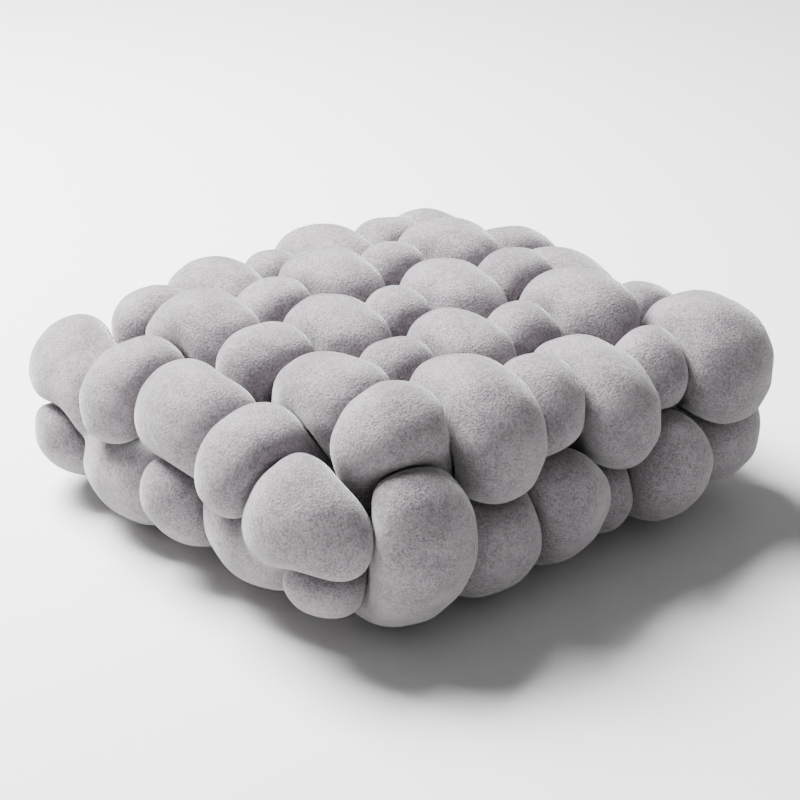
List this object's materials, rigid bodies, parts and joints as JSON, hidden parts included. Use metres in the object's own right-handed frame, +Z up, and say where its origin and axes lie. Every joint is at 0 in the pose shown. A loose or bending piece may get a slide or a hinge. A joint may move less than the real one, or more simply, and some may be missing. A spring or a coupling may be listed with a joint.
{
  "type": "throw pillow",
  "caption": "Rectangular hand-woven floor cushion: closed strands of stuffed plush tube in a plain weave, wrapped round all four sides.",
  "frame": {"origin": "centre of the underside, on the surface that the cushion rests on", "axes": "+Z up through the thickness, +Y along the longer side, +X along the shorter side"},
  "size_m": [0.45, 0.5, 0.196],
  "materials": {
    "plush_velvet": "short pile velvet, soft sheen",
    "fibre_filling": "loose polyester fibre"
  },
  "bodies": {
    "root": {"long_strand_1_casing": "plush_velvet", "long_strand_1_filling": "fibre_filling", "long_strand_2_casing": "plush_velvet", "long_strand_2_filling": "fibre_filling", "long_strand_3_casing": "plush_velvet", "long_strand_3_filling": "fibre_filling", "long_strand_4_casing": "plush_velvet", "long_strand_4_filling": "fibre_filling", "long_strand_5_casing": "plush_velvet", "long_strand_5_filling": "fibre_filling", "cross_strand_1_casing": "plush_velvet", "cross_strand_1_filling": "fibre_filling", "cross_strand_2_casing": "plush_velvet", "cross_strand_2_filling": "fibre_filling", "cross_strand_3_casing": "plush_velvet", "cross_strand_3_filling": "fibre_filling", "cross_strand_4_casing": "plush_velvet", "cross_strand_4_filling": "fibre_filling", "cross_strand_5_casing": "plush_velvet", "cross_strand_5_filling": "fibre_filling", "cross_strand_6_casing": "plush_velvet", "cross_strand_6_filling": "fibre_filling", "cross_strand_7_casing": "plush_velvet", "cross_strand_7_filling": "fibre_filling"}
  },
  "joints": []
}
